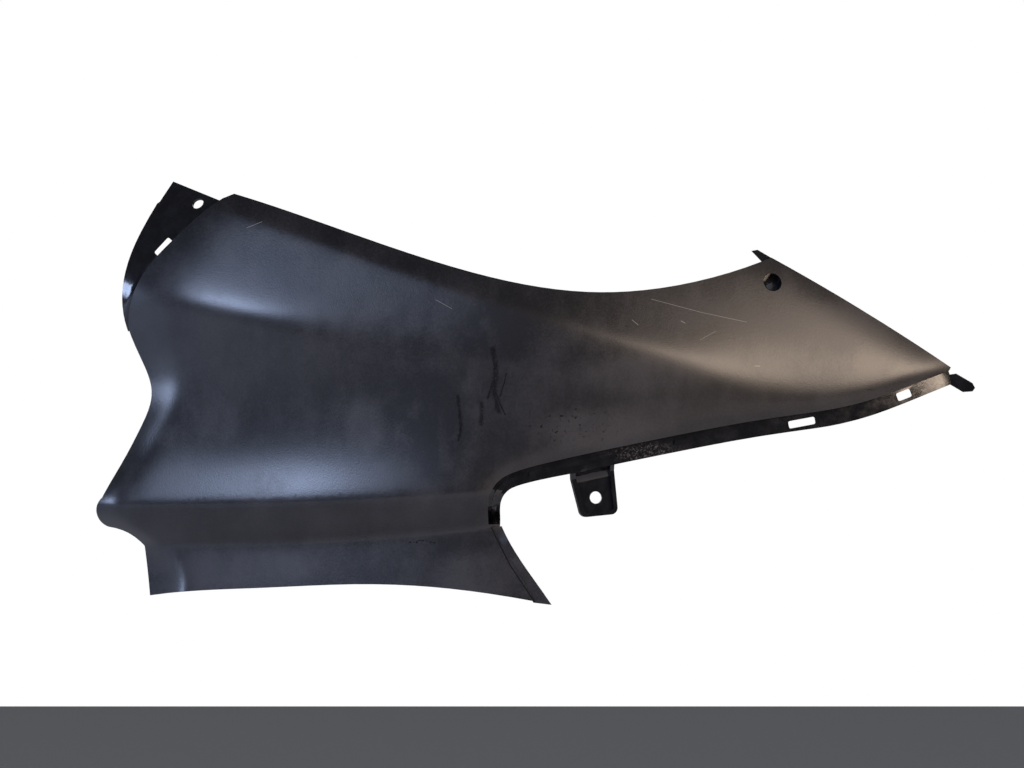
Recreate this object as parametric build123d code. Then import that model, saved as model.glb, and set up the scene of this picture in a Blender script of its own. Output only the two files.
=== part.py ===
from build123d import *
from math import cos, radians, sin
import os
import numpy as np

# Rear side panel of a scooter, injection moulded in one piece.
# X runs towards the tail, Z is up, and the outer face looks towards -Y.
# The origin is the centre of the screw hole in the lower tab, halfway through the tab's wall.
# "Depth" is how far the outer face stands out towards -Y from that origin.

# Walls, in millimetres
WALL = 2.5
RETURN_LIP_HEIGHT = 9.0

# Corners of the outline, as (x, z)
TOP_LEFT = (-235.0, 197.6)
TOP_BEND = (-88.0, 148.4)
TOP_DIP = (2.0, 133.4)
TOP_RISE = (68.0, 141.1)
TOP_RIGHT = (115.0, 156.3)
TAIL_EDGE_MIDDLE = (171.9, 123.6)
TAIL_TIP = (233.0, 84.6)
TAIL_CORNER = (231.5, 82.2)
LOWER_EDGE = [(204.4, 72.1), (171.9, 61.2), (117.7, 52.0), (41.9, 38.3), (-30.0, 23.0)]
ARCH = [(-50.5, 17.4), (-62.8, 11.0), (-69.0, 1.0)]
ARCH_FOOT = (-69.6, -17.9)
STRIP_TOP = (-67.7, -18.6)
STRIP_FOOT = (-39.1, -67.6)
SKIRT_TIP = (-28.5, -69.8)
SKIRT_BOTTOM = [(-62.0, -63.6), (-101.0, -58.6), (-153.0, -56.4), (-218.0, -59.0), (-282.0, -63.2)]
SKIRT_HEEL = (-291.3, -64.6)
SKIRT_SHOULDER = (-294.4, -32.0)
NOSE_UNDER = [(-303.6, -24.2), (-318.0, -19.5)]
NOSE_TIP = (-325.3, -11.5)
NOSE_TOP = (-321.6, -0.3)
NOSE_INSET = 4.0
FRONT_EDGE = [(-308.2, 23.1), (-296.6, 45.0), (-289.2, 68.0), (-296.0, 90.0)]
FRONT_TOP = (-303.9, 109.0)
CORNER_EDGE = [(-303.3, 122.0), (-293.4, 146.5), (-274.6, 167.6), (-250.4, 189.2)]
CORNER_END = (-242.5, 194.6)
FRONT_LINE_TOP = -215.0

# Feature lines of the skin: height z at a few stations x
RIDGE_LINE = [(-330, 137), (-276, 127), (-198, 114), (-95, 105.5), (3, 91), (97, 74), (250, 52)]
CREASE_LINE = [(-330, 213), (-205, 175.5), (-107, 141), (-17, 112), (88, 82), (250, 40)]
LOWER_CREASE_LINE = [(-330, -6.5), (-200, -5), (-69, 1), (250, 12)]
SKIRT_LINE = [(-330, -30.5), (-230, -30), (-130, -24.5), (-69, -19), (250, 10)]

# How far the ridge stands out, and how each side of it leans, at a few stations x
CROWN = [(-330, 6), (-250, 21), (-200, 27.5), (-150, 31), (-100, 32), (0, 23.5), (120, -4), (250, -43)]
UPPER_LEAN = [(-330, 0.34), (-230, 0.28), (-100, 0.16), (0, 0.02), (60, 0.02), (130, 0.2), (250, 0.26)]
FACET_LEAN = [(-330, 0.4), (-230, 0.42), (-100, 0.42), (0, 0.40), (60, 0.34), (130, 0.06), (250, 0.0)]
LOWER_LEAN = [(-330, 0.5), (-230, 0.48), (-100, 0.26), (0, 0.14), (120, 0.16), (250, 0.22)]
HOLLOW_LEAN = [(-330, 0.42), (-230, 0.38), (-100, 0.2), (0, 0.0), (250, 0.0)]
FLARE_LEAN = [(-330, 0.36), (-230, 0.36), (-100, 0.2), (0, 0.1), (250, 0.1)]
RETURN_LEAN = [(-330, 1.32), (-230, 1.3), (-69, 1.15), (-25, 1.0), (40, 0.3), (120, 0.1), (250, 0.1)]
RIDGE_SOFTNESS = [(-330, 13), (-200, 12), (-100, 22), (0, 9), (90, 16), (250, 30)]
CREASE_SOFTNESS = [(-330, 3.5), (-40, 4), (20, 5.5), (60, 8), (110, 16), (180, 24), (250, 28)]
HOLLOW_HEIGHT = 80.0
HOLLOW_SOFTNESS = 34.0
FLARE_HEIGHT = 26.0
FLARE_SOFTNESS = 26.0
LOWER_CREASE_SOFTNESS = 4.0
SKIRT_SOFTNESS = 2.0

# Rolled edges of the skin
FRONT_ROLL_WIDTH = [(-90, 11), (-38, 11), (-12, 10), (60, 13), (112, 22), (145, 18), (215, 9)]
FRONT_ROLL_LEAN = [(-90, 1.25), (-38, 1.2), (-12, 1.1), (60, 1.0), (105, 0.85), (145, 0.45), (215, 0.35)]
FRONT_ROLL_SOFTNESS = [(-90, 5), (-38, 5), (-12, 8), (60, 12), (125, 26), (215, 14)]
TAIL_ROLL_WIDTH = 9.0
TAIL_ROLL_LEAN = 0.35
TAIL_ROLL_SOFTNESS = 12.0
ARCH_ROLL_WIDTH = 6.0
ARCH_ROLL_LEAN = 0.5
ARCH_ROLL_SOFTNESS = 6.0
ARCH_ROLL_CORNER = 16.0
ARCH_ROLL_FADE = (-24.0, -8.0)

# Recessed rail under the skin's lower edge
RAIL_STEP = 6.5
RAIL_LEAN = 0.1
RAIL_WIDTH = 10.6
RAIL_WIDTH_AT_ARCH = 7.6
RAIL_WIDTH_AT_TAIL = 8.6
LAND_START = 2.7
LAND_WIDTH = 3.2
LAND_HEIGHT = 1.3
LAND_BREAKS = [-44.6, 12.5, 50.0]
LAND_BREAK_WIDTH = 1.5
LAND_END = 64.0
RAIL_STATIONS = (-8, -4, 0, 4, 8, 12, 16)
RAIL_PAST_TAIL = 30.0
RAIL_PAST_ARCH = 12.0
RAIL_ROWS = 30

# Recessed flange on the upper front corner, as (x, z)
FLANGE_TIP = (-275.3, 205.9)
FLANGE_STEP_UPPER = (-284.0, 192.6)
FLANGE_STEP_LOWER = (-285.6, 191.6)
FLANGE_OUTER = [(-298.2, 168.7), (-305.6, 149.0), (-308.3, 129.0)]
FLANGE_FOOT = (-304.6, 108.0)
FLANGE_ROOT = (-244.6, 193.3)
FLANGE_STEP = 6.5
FLANGE_LEAN = 0.72
FLANGE_STATIONS = (-8, -4, 0, 6, 16, 30, 50)
FLANGE_PAST_FRONT = 12.0
FLANGE_PAST_TOP = 30.0
FLANGE_ROWS = 16
FLANGE_HOLE = (-258.8, 191.3)
FLANGE_HOLE_DIAMETER = 7.7
FLANGE_SLOT = (-281.0, 162.9)
FLANGE_SLOT_LENGTH = 13.5
FLANGE_SLOT_WIDTH = 4.4
FLANGE_SLOT_TURN = 47.0

# Slots through the rail: centre as (x, z), length, width and turn in degrees
LONG_SLOT = ((134.6, 48.6), 17.5, 4.8, 10.5)
SHORT_SLOT = ((201.8, 66.6), 9.5, 5.4, 21.0)
SLOT_CORNER = 1.2

# Lower screw tab, as (x, z) before its turn about Z. Its rims stand TAB_RIM_HEIGHT above its floor,
# and a hollow ramp leads from the floor up to the rail's outer edge.
TAB_LEFT = (-17.6, 15.4)
TAB_FOOT_LEFT = (-10.2, -13.0)
TAB_FOOT_RIGHT = (14.2, -10.6)
TAB_RIGHT = (11.0, 21.6)
TAB_TURN = 10.5
TAB_CORNER = 4.5
TAB_RIM_WIDTH = 2.8
TAB_RIM_HEIGHT = 3.4
TAB_RISE = 7.3
TAB_RAMP_HEIGHT = 8.0
TAB_ROOT = 4.0
TAB_ROOT_INSET = 0.4
TAB_ROOT_WALL = 1.3
TAB_HOLE_DIAMETER = 8.0
TAB_FOOT_REACH = 42.0
TAB_SIDE_OVERRUN = 1.3

# Tongue at the tail and lug at the upper rear corner, as (x, z)
TONGUE = [(229.5, 79.6), (236.5, 80.6), (247.2, 74.4), (248.9, 71.2), (247.2, 68.9), (240.9, 68.5),
          (232.6, 73.4), (229.5, 74.6)]
LUG = [(101.9, 160.6), (106.0, 161.4), (116.5, 155.2), (112.0, 150.0)]
LUG_SET_BACK = 1.8

# Screw recess near the upper rear corner, with a tube and gussets behind it
RECESS_CENTRE = (115.6, 140.2)
RECESS_DIAMETER = 12.4
RECESS_DEPTH = 6.0
RECESS_TURN_RIGHT = 14.0
RECESS_TURN_UP = 22.0
SCREW_HOLE_DIAMETER = 5.6
SCREW_TUBE_LENGTH = 13.0
SCREW_TUBE_WALL = 2.2
GUSSET_COUNT = 4
GUSSET_WALL = 1.6
GUSSET_HEIGHT = 7.0

# Stepped strip along the skirt's right edge
STRIP_SHOULDER = (-61.0, -18.6)
STRIP_EDGE = [(-49.7, -39.3), (-35.2, -60.1)]
STRIP_STEP = 1.1
STRIP_UNDERLAP = 1.5

# How far the working surfaces and blocks reach past the part
REACH_LEFT = -345.0
REACH_RIGHT = 262.0
REACH_DOWN = -88.0
REACH_UP = 222.0
NEAR_Y = -60.0
FAR_Y = 130.0
REACH_MARGIN = 2.0
GRID_COLUMNS = 44
GRID_ROWS = 44
COLUMN_STOPS = (REACH_LEFT, -325, -305, -290, -275, -255, -215, -165, -115, -80, -55, -20, 30, 90, 150,
                205, REACH_RIGHT)
CREASE_CLEAR = 12.0
SLOPE_REACH = 0.05
LEDGE_REACH = 14.0
LEDGE_PLAY = 1.0
LEDGE_POINTS = 40
OFFSET_POINTS = 14
REVERSED_POINTS = 24
SAME_PLACE = 1e-6
STANDING = (Align.CENTER, Align.CENTER, Align.MIN)
HANGING = (Align.CENTER, Align.CENTER, Align.MAX)


def smooth_line(stations):
    """A smooth curve through a few stations: a natural cubic spline, straight past both ends."""
    xs, values = np.array(stations, dtype=float).T
    gaps = np.diff(xs)
    slopes = np.diff(values) / gaps
    count = len(xs)
    matrix = np.eye(count)
    right = np.zeros(count)
    for i in range(1, count - 1):
        matrix[i, i - 1:i + 2] = gaps[i - 1], 2 * (gaps[i - 1] + gaps[i]), gaps[i]
        right[i] = 6 * (slopes[i] - slopes[i - 1])
    bends = np.linalg.solve(matrix, right)
    first_slope = slopes[0] - gaps[0] * bends[1] / 6
    last_slope = slopes[-1] + gaps[-1] * bends[-2] / 6

    def value_at(x):
        inside = np.clip(x, xs[0], xs[-1])
        i = np.clip(np.searchsorted(xs, inside) - 1, 0, count - 2)
        left, gap = inside - xs[i], gaps[i]
        rest = gap - left
        curve = (bends[i] * rest ** 3 + bends[i + 1] * left ** 3) / (6 * gap)
        curve = curve + (values[i] / gap - bends[i] * gap / 6) * rest
        curve = curve + (values[i + 1] / gap - bends[i + 1] * gap / 6) * left
        past = np.minimum(x - xs[0], 0) * first_slope + np.maximum(x - xs[-1], 0) * last_slope
        return curve + past

    return value_at


def bend(distance, softness):
    """A soft fold: nothing before its line, the distance itself past it, eased over the softness."""
    return (distance + np.sqrt(distance ** 2 + softness ** 2)) / 2


ridge_line = smooth_line(RIDGE_LINE)
crease_line = smooth_line(CREASE_LINE)
lower_crease_line = smooth_line(LOWER_CREASE_LINE)
skirt_line = smooth_line(SKIRT_LINE)
crown = smooth_line(CROWN)
upper_lean = smooth_line(UPPER_LEAN)
facet_lean = smooth_line(FACET_LEAN)
lower_lean = smooth_line(LOWER_LEAN)
hollow_lean = smooth_line(HOLLOW_LEAN)
flare_lean = smooth_line(FLARE_LEAN)
return_lean = smooth_line(RETURN_LEAN)
ridge_softness = smooth_line(RIDGE_SOFTNESS)
crease_softness = smooth_line(CREASE_SOFTNESS)
roll_width = smooth_line(FRONT_ROLL_WIDTH)
roll_lean = smooth_line(FRONT_ROLL_LEAN)
roll_softness = smooth_line(FRONT_ROLL_SOFTNESS)


def by_height(points):
    """The same points with z first, lowest first, so that a line gives x at each z."""
    return sorted((z, x) for x, z in points)


front_line = smooth_line(by_height(
    [(SKIRT_HEEL[0], REACH_DOWN), SKIRT_SHOULDER, (NOSE_TIP[0] + NOSE_INSET, NOSE_TIP[1])] + FRONT_EDGE
    + [FRONT_TOP] + CORNER_EDGE[1:] + [(FRONT_LINE_TOP, REACH_UP)]))
lower_line = smooth_line(sorted([TAIL_CORNER] + LOWER_EDGE))


def body_depth(x, z):
    """Depth of the outer face without its rolled lower edge: soft folds along the feature lines."""
    above = z - ridge_line(x)
    softness = ridge_softness(x)
    depth = crown(x) - upper_lean(x) * bend(above, softness) - lower_lean(x) * bend(-above, softness)
    depth = depth - facet_lean(x) * bend(z - crease_line(x), crease_softness(x))
    depth = depth + hollow_lean(x) * bend(HOLLOW_HEIGHT - z, HOLLOW_SOFTNESS)
    depth = depth + flare_lean(x) * bend(FLARE_HEIGHT - z, FLARE_SOFTNESS)
    depth = depth - return_lean(x) * bend(lower_crease_line(x) - z, LOWER_CREASE_SOFTNESS)
    skirt_lean = return_lean(x) + lower_lean(x) - hollow_lean(x) - flare_lean(x)
    depth = depth + skirt_lean * bend(skirt_line(x) - z, SKIRT_SOFTNESS)
    inward = x - front_line(z)
    depth = depth - roll_lean(z) * bend(roll_width(z) - inward, roll_softness(z))
    return depth - TAIL_ROLL_LEAN * bend(TAIL_ROLL_WIDTH - inside_tail_edge(x, z), TAIL_ROLL_SOFTNESS)


def inside_tail_edge(x, z):
    """Distance in from the straight line between the upper rear corner and the tail's tip."""
    along = np.array(TAIL_TIP) - np.array(TOP_RIGHT)
    along = along / np.hypot(*along)
    return (x - TOP_RIGHT[0]) * along[1] - (z - TOP_RIGHT[1]) * along[0]


def skin_depth(x, z):
    """Depth of the outer face, with the lower edge and the arch rolled back."""
    above, beside = z - lower_line(x), ARCH_FOOT[0] - x
    inside = (above + beside + np.sqrt((above - beside) ** 2 + ARCH_ROLL_CORNER ** 2)) / 2
    fade = np.clip((z - ARCH_ROLL_FADE[0]) / (ARCH_ROLL_FADE[1] - ARCH_ROLL_FADE[0]), 0, 1)
    lean = ARCH_ROLL_LEAN * fade ** 2 * (3 - 2 * fade)
    return body_depth(x, z) - lean * bend(ARCH_ROLL_WIDTH - inside, ARCH_ROLL_SOFTNESS)


def surface_grid():
    """Columns gathered at the front roll and the arch, and rows gathered at the feature lines."""
    shares = np.linspace(0, 1, len(COLUMN_STOPS))
    columns = np.interp(np.linspace(0, 1, GRID_COLUMNS), shares, COLUMN_STOPS)
    rows = []
    for x in columns:
        skirt, lower, ridge = skirt_line(x), lower_crease_line(x), ridge_line(x)
        crease = ridge + CREASE_CLEAR + bend(crease_line(x) - ridge - CREASE_CLEAR, CREASE_CLEAR)
        stops = [REACH_DOWN, skirt - 4, skirt, skirt + 4, lower - 5, lower - 1.5, lower + 2, lower + 8,
                 (lower + ridge) / 2, ridge - 8, ridge + 2, crease - 3, crease + 3, crease + 12, REACH_UP]
        rows.append(np.interp(np.linspace(0, 1, GRID_ROWS), np.linspace(0, 1, len(stops)), stops))
    z = np.array(rows)
    x = np.repeat(columns[:, None], z.shape[1], axis=1)
    return x, z


def through(points):
    """One smooth face through rows of points: a loft of one spline for each row."""
    steps = np.linalg.norm(np.diff(points, axis=1), axis=2).mean(axis=0)
    places = (np.concatenate([[0], np.cumsum(steps)]) / steps.sum()).tolist()
    rows = [Wire([Edge.make_spline([Vector(*map(float, point)) for point in row], parameters=places)])
            for row in points]
    return Shell.make_loft(rows).faces()[0]


def skin_face(behind=0.0):
    """The outer face of the skin, or one as far behind it as asked, measured square to the face."""
    x, z = surface_grid()
    slope_x = (skin_depth(x + SLOPE_REACH, z) - skin_depth(x - SLOPE_REACH, z)) / (2 * SLOPE_REACH)
    slope_z = (skin_depth(x, z + SLOPE_REACH) - skin_depth(x, z - SLOPE_REACH)) / (2 * SLOPE_REACH)
    length = np.sqrt(1 + slope_x ** 2 + slope_z ** 2)
    return through(np.stack([x + behind * slope_x / length, behind / length - skin_depth(x, z),
                             z + behind * slope_z / length], axis=-1))


def strip_face(edge, offsets, step, lean, past_start, past_end, count):
    """The face of a ledge along an edge of the skin: a step behind the edge, leaning back outwards.

    It runs on past both ends, straight on, so that the ledge can be cut out of it.
    """
    rows = []
    for t in np.linspace(0, 1, count):
        place, along = edge.position_at(t), edge.tangent_at(t)
        rows.append((place.X, place.Z, along.X, along.Z))
    first, last = rows[0], rows[-1]
    rows.insert(0, (first[0] - first[2] * past_start, first[1] - first[3] * past_start) + first[2:])
    rows.append((last[0] + last[2] * past_end, last[1] + last[3] * past_end) + last[2:])
    points = []
    for x, z, along_x, along_z in rows:
        depth = body_depth(np.array(x), np.array(z)) - step
        points.append([(x - along_z * out, lean * max(out, 0) - depth, z + along_x * out)
                       for out in offsets])
    return through(np.array(points))


def behind(face):
    """All the space behind a face."""
    return Solid.extrude(face, Vector(0, FAR_Y - NEAR_Y, 0))


def hit(face, point):
    """Where a line along Y meets a face, and the face's own direction there."""
    return face.find_intersection_points(Axis((point[0], NEAR_Y, point[1]), (0, 1, 0)))[0]


def at(point, y=0.0):
    """A point of the side view, given as (x, z)."""
    return Vector(point[0], y, point[1])


def straight(start, end):
    return Edge.make_line(at(start), at(end))


def curve(*points, start=None, end=None):
    """A smooth curve through side view points, with a direction at both ends where given."""
    tangents = [at(start), at(end)] if start else None
    return Edge.make_spline([at(point) for point in points], tangents=tangents)


def beside(edge, distance, count=OFFSET_POINTS):
    """A curve that keeps a distance from an edge, or one distance at its start and one at its end.

    A positive distance is to the right of the edge's direction, as the outer face is seen.
    """
    first, middle, last = distance if isinstance(distance, tuple) else (distance,) * 3
    points = []
    for i in range(count + 1):
        t = i / count
        place, along = edge.position_at(t), edge.tangent_at(t)
        near_start, near_end = max(0, 1 - 4 * t), max(0, 4 * t - 3)
        gap = middle + (first - middle) * near_start + (last - middle) * near_end
        points.append((place.X + along.Z * gap, place.Z - along.X * gap))
    return curve(*points)


def backwards(edge):
    """The same curve run the other way."""
    return Edge.make_spline([edge.position_at(1 - i / REVERSED_POINTS) for i in range(REVERSED_POINTS + 1)])


def ends(edge):
    """Both end points of an edge, as (x, z)."""
    first, last = edge.position_at(0), edge.position_at(1)
    return (first.X, first.Z), (last.X, last.Z)


def outline(*edges):
    """A flat face in the side view whose edges follow one another, with straight links between."""
    chain = []
    for i, edge in enumerate(edges):
        chain.append(edge)
        here, there = ends(edge)[1], ends(edges[(i + 1) % len(edges)])[0]
        if np.hypot(here[0] - there[0], here[1] - there[1]) > SAME_PLACE:
            chain.append(straight(here, there))
    return Face(Wire(chain))


def polygon(*points):
    return Face(Wire([straight(a, b) for a, b in zip(points, points[1:] + points[:1])]))


def prism(face, near=NEAR_Y, far=FAR_Y):
    """A side view face carried through the depth, from near to far."""
    return Solid.extrude(face.moved(Location((0, near, 0))), Vector(0, far - near, 0))


top_edge = curve(TOP_LEFT, TOP_BEND, TOP_DIP, TOP_RISE, TOP_RIGHT)
tail_edge = Edge.make_three_point_arc(at(TOP_RIGHT), at(TAIL_EDGE_MIDDLE), at(TAIL_TIP))
lower_edge = curve(TAIL_CORNER, *LOWER_EDGE, *ARCH, ARCH_FOOT, start=(-1.0, -0.36), end=(0.0, -1.0))
strip_fold = curve(STRIP_TOP, STRIP_FOOT)
skirt_bottom = curve(STRIP_FOOT, *SKIRT_BOTTOM, SKIRT_HEEL)
heel_edge = straight(SKIRT_HEEL, SKIRT_SHOULDER)
nose_under = curve(SKIRT_SHOULDER, *NOSE_UNDER)
nose = Edge.make_three_point_arc(at(NOSE_UNDER[-1]), at(NOSE_TIP), at(NOSE_TOP))
front_edge = curve(NOSE_TOP, *FRONT_EDGE, FRONT_TOP)
corner_edge = curve(FRONT_TOP, *CORNER_EDGE, CORNER_END)

outer = skin_face()
inner = skin_face(WALL)
rail_seat = strip_face(lower_edge, RAIL_STATIONS, RAIL_STEP, RAIL_LEAN, RAIL_PAST_TAIL, RAIL_PAST_ARCH,
                       RAIL_ROWS)
flange_seat = strip_face(corner_edge, FLANGE_STATIONS, FLANGE_STEP, FLANGE_LEAN, FLANGE_PAST_FRONT,
                         FLANGE_PAST_TOP, FLANGE_ROWS)


def layer(face, set_back, thickness):
    """A wall that starts a set-back behind a face and is that thick, both measured along Y."""
    return Solid.extrude(face.moved(Location((0, set_back, 0))), Vector(0, thickness, 0))


def skin():
    """The skin with its return lip along the top edge, and side walls down to the rail and flange."""
    body = outline(top_edge, tail_edge, lower_edge, strip_fold, skirt_bottom, heel_edge,
                   nose_under, nose, front_edge, corner_edge)
    block = prism(body) & layer(outer, 0, WALL + RETURN_LIP_HEIGHT)
    top_inside = beside(top_edge, WALL)
    lower_inside = beside(lower_edge, WALL, LEDGE_POINTS)
    right, left, down = REACH_RIGHT - REACH_MARGIN, REACH_LEFT + REACH_MARGIN, REACH_DOWN + REACH_MARGIN
    tail_top, tail_side = (REACH_RIGHT / 2, ends(top_inside)[1][1]), (right, TAIL_TIP[1])
    arch_side, below = (0.0, ends(lower_inside)[1][1]), (0.0, down)
    corner, front = (left, down), (left, FRONT_TOP[1])
    room = outline(top_inside, straight(tail_top, tail_side), lower_inside,
                   straight(arch_side, below), straight(corner, front), beside(corner_edge, WALL))
    return block - (prism(room) & behind(inner))


def ledge_room(edge, face):
    """What lies behind a ledge's own wall, from just inside the skin's edge to past the ledge."""
    band = outline(beside(edge, WALL + LEDGE_PLAY, LEDGE_POINTS),
                   backwards(beside(edge, -LEDGE_REACH, LEDGE_POINTS)))
    return prism(band) & layer(face, WALL, LEDGE_REACH + FLANGE_STEP)


def slot(centre, length, width, turn):
    """A round cornered slot through the whole depth."""
    shape = Plane.XZ * Pos(*centre) * Rot(0, 0, turn) * RectangleRounded(length, width, SLOT_CORNER)
    return prism(shape.face())


def rail():
    """The recessed rail under the skin's lower edge and round the arch, with its broken land."""
    inside = beside(lower_edge, WALL / 2, LEDGE_POINTS)
    outside = beside(lower_edge, (-RAIL_WIDTH_AT_TAIL, -RAIL_WIDTH, -RAIL_WIDTH_AT_ARCH), LEDGE_POINTS)
    ledge = prism(outline(outside, backwards(inside))) & layer(rail_seat, 0, WALL)
    land_inside = beside(lower_edge, -LAND_START, LEDGE_POINTS)
    land_outside = beside(lower_edge, -LAND_START - LAND_WIDTH, LEDGE_POINTS)
    land = prism(outline(land_inside, backwards(land_outside)))
    land = land & layer(rail_seat, -LAND_HEIGHT, LAND_HEIGHT + WALL / 2)
    stops = [(x, x + LAND_BREAK_WIDTH) for x in LAND_BREAKS] + [(LAND_END, REACH_RIGHT)]
    gaps = [prism(polygon((left, 0), (right, 0), (right, REACH_UP), (left, REACH_UP)))
            for left, right in stops]
    return ledge - [slot(*LONG_SLOT), slot(*SHORT_SLOT)], *(land - gaps).solids()


def rail_foot():
    """The small wall that closes the rail's foot against the strip on the skirt."""
    left, right = ARCH_FOOT[0] - WALL / 2, ARCH_FOOT[0] + RAIL_WIDTH_AT_ARCH
    top, bottom = ARCH_FOOT[1] + LEDGE_PLAY / 2, STRIP_TOP[1] - WALL
    wall = prism(polygon((left, top), (right, top), (right, bottom), (left, bottom)))
    return wall & layer(outer, STRIP_STEP, RAIL_STEP + WALL - STRIP_STEP)


def flange():
    """The recessed flange on the upper front corner, with a screw hole square to it and a slot."""
    side = curve(FLANGE_FOOT, *reversed(FLANGE_OUTER), FLANGE_STEP_LOWER)
    tip = curve(FLANGE_STEP_UPPER, FLANGE_TIP)
    top = straight(FLANGE_TIP, FLANGE_ROOT)
    wall = prism(outline(side, tip, top, backwards(beside(corner_edge, WALL / 2))))
    wall = wall & layer(flange_seat, 0, WALL)
    point, inward = hit(flange_seat, FLANGE_HOLE)
    hole = Plane(point, z_dir=inward) * Cylinder(FLANGE_HOLE_DIAMETER / 2, 4 * WALL)
    return wall - [hole, slot(FLANGE_SLOT, FLANGE_SLOT_LENGTH, FLANGE_SLOT_WIDTH, FLANGE_SLOT_TURN)]


def tab_sweep(outer_edges):
    """A section of the tab, as (y, height above the rail's edge), swept along that edge."""
    start = TAB_LEFT[0] - TAB_CORNER
    width = TAB_RIGHT[0] + TAB_CORNER - start
    slope = (TAB_RIGHT[1] - TAB_LEFT[1]) / (TAB_RIGHT[0] - TAB_LEFT[0])
    base = Location((start, 0, TAB_LEFT[1] - slope * TAB_CORNER))
    return Solid.extrude(Face(Wire(outer_edges)).moved(base), Vector(width, 0, slope * width))


def tab():
    """The lower screw tab: a tray with rims on three sides, joined to the rail by a hollow ramp."""
    foot, bend_height = -TAB_FOOT_REACH, -TAB_RAMP_HEIGHT / 2
    floor, back = -WALL / 2, WALL / 2
    crest, rim = floor - TAB_RISE, floor - TAB_RIM_HEIGHT
    root_front = crest + TAB_ROOT_INSET
    root_back = root_front + TAB_ROOT_WALL

    def lines(*places):
        points = [Vector(0, y, height) for y, height in places]
        return [Edge.make_line(a, b) for a, b in zip(points, points[1:])]

    body = lines((back, bend_height), (back, foot), (rim, foot), (rim, bend_height), (root_front, 0),
                 (root_front, TAB_ROOT), (root_back, TAB_ROOT), (back, bend_height))
    ramp = Edge.make_tangent_arc(Vector(0, floor, -TAB_RAMP_HEIGHT), Vector(0, 0, 1), Vector(0, crest, 0))
    pocket = [ramp] + lines((crest, 0), (crest, TAB_ROOT), (NEAR_Y, TAB_ROOT), (NEAR_Y, foot),
                            (floor, foot), (floor, -TAB_RAMP_HEIGHT))
    side_left, side_right = np.subtract(TAB_LEFT, TAB_FOOT_LEFT), np.subtract(TAB_RIGHT, TAB_FOOT_RIGHT)
    top_left = TAB_FOOT_LEFT + side_left * TAB_SIDE_OVERRUN
    top_right = TAB_FOOT_RIGHT + side_right * TAB_SIDE_OVERRUN
    shape = polygon(TAB_FOOT_LEFT, TAB_FOOT_RIGHT, tuple(top_right), tuple(top_left))
    feet = shape.vertices().sort_by(Axis.Z)[:2]
    shape = shape.fillet_2d(TAB_CORNER, feet)
    inset = [(TAB_FOOT_LEFT[0] + TAB_RIM_WIDTH, TAB_FOOT_LEFT[1] + TAB_RIM_WIDTH),
             (TAB_FOOT_RIGHT[0] - TAB_RIM_WIDTH, TAB_FOOT_RIGHT[1] + TAB_RIM_WIDTH),
             (top_right[0] - TAB_RIM_WIDTH, top_right[1]), (top_left[0] + TAB_RIM_WIDTH, top_left[1])]
    hollow = polygon(*inset)
    hollow = hollow.fillet_2d(TAB_CORNER - TAB_RIM_WIDTH, hollow.vertices().sort_by(Axis.Z)[:2])
    tray = (prism(shape) & tab_sweep(body)) - (prism(hollow) & tab_sweep(pocket))
    tray = tray - prism((Plane.XZ * Circle(TAB_HOLE_DIAMETER / 2)).face())
    return tray.rotate(Axis.Z, TAB_TURN)


def tongue():
    """The flat tongue that carries the rail on past the tail."""
    y = hit(rail_seat, TAIL_CORNER)[0].Y
    return prism(polygon(*TONGUE), y, y + WALL)


def lug():
    """The small lug on the upper rear corner, set back from the skin's face."""
    return prism(polygon(*LUG)) & layer(outer, LUG_SET_BACK, WALL)


def strip():
    """The stepped strip along the skirt's right edge, lapping a little way under the skirt."""
    inside = beside(strip_fold, STRIP_UNDERLAP)
    edge = curve(STRIP_SHOULDER, *STRIP_EDGE, SKIRT_TIP)
    return prism(outline(edge, backwards(inside))) & layer(outer, STRIP_STEP, WALL)


def recess_plane():
    """The floor of the screw recess, looking outwards along the screw."""
    turn, up = radians(RECESS_TURN_RIGHT), radians(RECESS_TURN_UP)
    outwards = Vector(sin(turn) * cos(up), -cos(turn) * cos(up), sin(up))
    return Plane(hit(outer, RECESS_CENTRE)[0] - outwards * RECESS_DEPTH, z_dir=outwards)


def screw_seat():
    """The cup of the screw recess with the tube behind it, and gussets between the two."""
    floor = recess_plane()
    cup_radius, tube_radius = RECESS_DIAMETER / 2 + WALL, SCREW_HOLE_DIAMETER / 2 + SCREW_TUBE_WALL
    cup = floor * Pos(0, 0, -WALL) * Cylinder(cup_radius, 4 * RECESS_DEPTH, align=STANDING)
    cup = cup & layer(outer, 0, 4 * RECESS_DEPTH)
    tube = floor * Cylinder(tube_radius, SCREW_TUBE_LENGTH, align=HANGING)
    corners = [(tube_radius / 2, -WALL / 2), (cup_radius, -WALL / 2), (cup_radius, -WALL),
               (tube_radius, -WALL - GUSSET_HEIGHT), (tube_radius / 2, -WALL - GUSSET_HEIGHT)]
    gusset = extrude(Plane.XZ * make_face(Polyline(*corners, close=True)), GUSSET_WALL / 2, both=True)
    gussets = [floor * Rot(0, 0, 360 * i / GUSSET_COUNT) * gusset for i in range(GUSSET_COUNT)]
    return cup, tube, *gussets


def screw_way():
    """What the screw needs free: the recess itself and the hole through the tube."""
    floor = recess_plane()
    room = floor * Cylinder(RECESS_DIAMETER / 2, 4 * RECESS_DEPTH, align=STANDING)
    return room, floor * Cylinder(SCREW_HOLE_DIAMETER / 2, 3 * SCREW_TUBE_LENGTH)


def side_panel():
    """The whole panel, as one solid."""
    panel = skin() - ledge_room(lower_edge, rail_seat) - ledge_room(corner_edge, flange_seat)
    for feature in (*rail(), rail_foot(), flange(), tab(), tongue(), lug(), strip()):
        panel = panel + feature
    return panel + list(screw_seat()) - list(screw_way())


os.makedirs("parts", exist_ok=True)
export_step(side_panel(), "parts/side_panel.step")
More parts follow.
